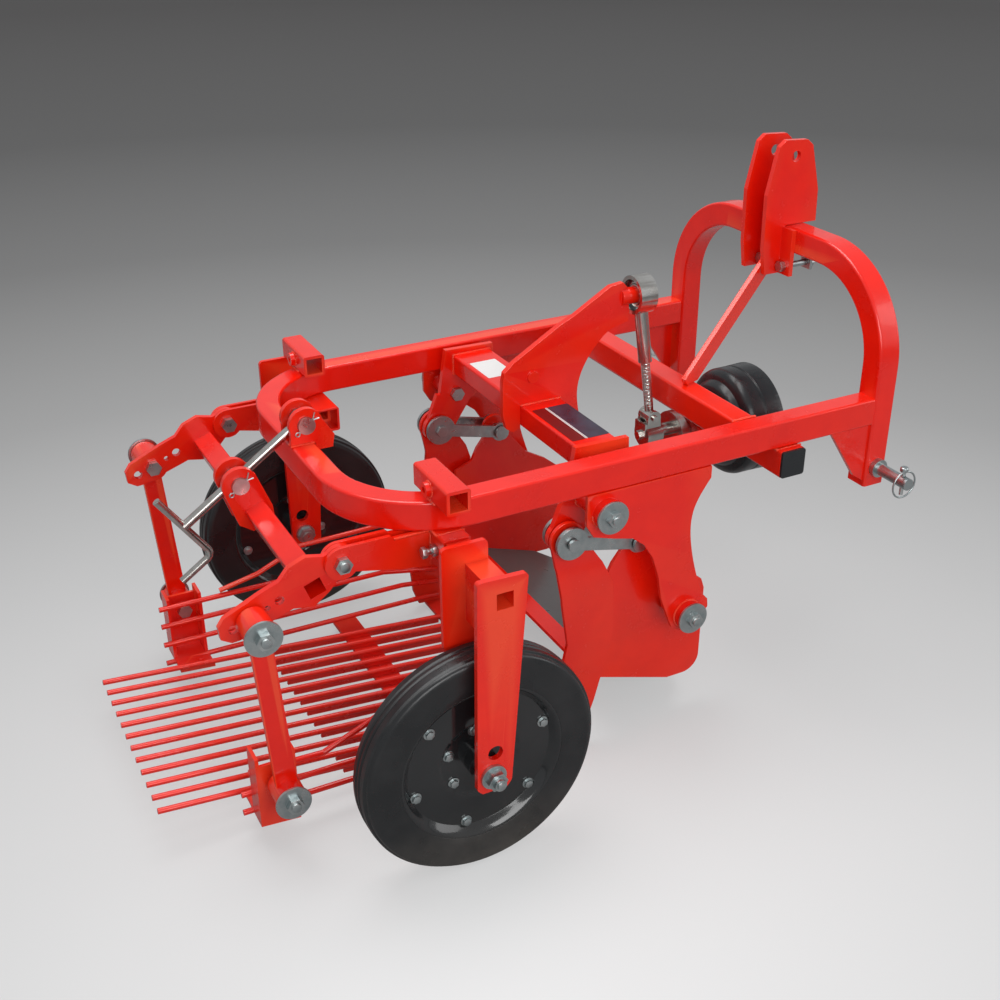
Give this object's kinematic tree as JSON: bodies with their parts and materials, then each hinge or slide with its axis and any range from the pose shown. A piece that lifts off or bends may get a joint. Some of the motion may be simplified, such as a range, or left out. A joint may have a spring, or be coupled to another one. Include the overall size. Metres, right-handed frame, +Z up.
{
  "type": "potato digger",
  "caption": "Small tractor-mounted potato digger: U-shaped tube frame with hitch arch, shaken share and rod sieve driven by a rocker, rear height crank and two depth wheels.",
  "frame": {"origin": "middle of the footprint at floor level", "axes": "+X forward to the tractor, +Y to the left, +Z up"},
  "size_m": [1.3704, 0.976, 0.9739],
  "materials": {
    "red": "glossy red enamel over welded steel",
    "zinc": "zinc plated steel",
    "steel": "bright turned and plated steel",
    "rim": "glossy black enamel",
    "tyre": "smooth black rubber",
    "plastic": "black moulded plastic",
    "blade": "black enamel on share steel"
  },
  "bodies": {
    "frame": {"side_rails": "red", "hitch_arch": "red", "cross_tube": "red", "drop_tube": "red", "tube_caps": "plastic", "tube_stubs": "red", "wheel_sockets": "red", "wheel_arm_right": "red", "wheel_arm_left": "red", "axle_bolts": "zinc", "side_plate_right": "red", "side_plate_left": "red", "share_studs": "zinc", "lever_brackets": "red", "lift_levers": "red", "screw_clevis": "red", "lift_pins": "zinc", "lift_screw": "steel", "top_link_ears": "red", "bracket_bolts": "zinc", "arch_brace": "red", "hitch_pins": "zinc", "pto_housing": "red", "pto_guard": "plastic"},
    "wheel_right_body": {"tyre_right": "tyre", "rim_right": "rim"},
    "wheel_left_body": {"tyre_left": "tyre", "rim_left": "rim"},
    "pto_shaft_body": {"pto_shaft": "steel"},
    "rocker_body": {"rocker_tube": "red", "rocker_lever": "red", "rocker_pins": "zinc"},
    "drive_rod_body": {"drive_rod": "steel", "drive_knuckle": "steel"},
    "sieve_body": {"sieve_grid": "red", "sieve_arm_right": "red", "sieve_arm_left": "red", "sieve_fences": "red", "hanger_bolts": "zinc"},
    "links_right_body": {"links_right": "zinc"},
    "links_left_body": {"links_left": "zinc"},
    "share_body": {"share_panels": "red", "share_blade": "blade", "link_pins": "zinc"},
    "hanger_right_body": {"hanger_right": "red"},
    "hanger_left_body": {"hanger_left": "red"}
  },
  "joints": [
    {"name": "wheel_right_spin", "type": "hinge", "parent": "frame", "child": "wheel_right_body", "pos_m": [-0.235, -0.403, 0.198], "axis": [0, 1, 0], "continuous": true},
    {"name": "wheel_left_spin", "type": "hinge", "parent": "frame", "child": "wheel_left_body", "pos_m": [-0.227, 0.448, 0.198], "axis": [0, 1, 0], "continuous": true},
    {"name": "pto_shaft_spin", "type": "hinge", "parent": "frame", "child": "pto_shaft_body", "pos_m": [0.424, -0.015, 0.456], "axis": [1, 0, 0], "continuous": true},
    {"name": "rocker_swing", "type": "hinge", "parent": "frame", "child": "rocker_body", "pos_m": [0.067, 0.04, 0.489], "axis": [0, 1, 0], "range_deg": [0, 6]},
    {"name": "drive_rod_swing", "type": "hinge", "parent": "rocker_body", "child": "drive_rod_body", "pos_m": [0.305, 0.012, 0.734], "axis": [0, 1, 0], "range_deg": [-0.705, 0]},
    {"name": "sieve_swing", "type": "hinge", "parent": "rocker_body", "child": "sieve_body", "pos_m": [0.028, 0.04, 0.421], "axis": [0, 1, 0], "range_deg": [-6.51, 0]},
    {"name": "links_right_swing", "type": "hinge", "parent": "rocker_body", "child": "links_right_body", "pos_m": [0.028, -0.213, 0.421], "axis": [0, 1, 0], "range_deg": [-1.5, 0]},
    {"name": "links_left_swing", "type": "hinge", "parent": "rocker_body", "child": "links_left_body", "pos_m": [0.028, 0.293, 0.421], "axis": [0, 1, 0], "range_deg": [-1.5, 0]},
    {"name": "share_swing", "type": "hinge", "parent": "frame", "child": "share_body", "pos_m": [0.241, 0.04, 0.245], "axis": [0, 1, 0], "range_deg": [-3.91, 0]},
    {"name": "hanger_right_swing", "type": "hinge", "parent": "frame", "child": "hanger_right_body", "pos_m": [-0.524, -0.28, 0.446], "axis": [0, 1, 0], "range_deg": [0, 0.833]},
    {"name": "hanger_left_swing", "type": "hinge", "parent": "frame", "child": "hanger_left_body", "pos_m": [-0.524, 0.36, 0.446], "axis": [0, 1, 0], "range_deg": [0, 0.833]}
  ],
  "couplings": [
    {"joint": "drive_rod_swing", "follows": "rocker_swing", "ratio": -0.11584},
    {"joint": "sieve_swing", "follows": "rocker_swing", "ratio": -1.0835},
    {"joint": "links_right_swing", "follows": "rocker_swing", "ratio": -0.24775},
    {"joint": "links_left_swing", "follows": "rocker_swing", "ratio": -0.24775},
    {"joint": "share_swing", "follows": "rocker_swing", "ratio": -0.65016},
    {"joint": "hanger_right_swing", "follows": "rocker_swing", "ratio": 0.13717},
    {"joint": "hanger_left_swing", "follows": "rocker_swing", "ratio": 0.13717}
  ]
}
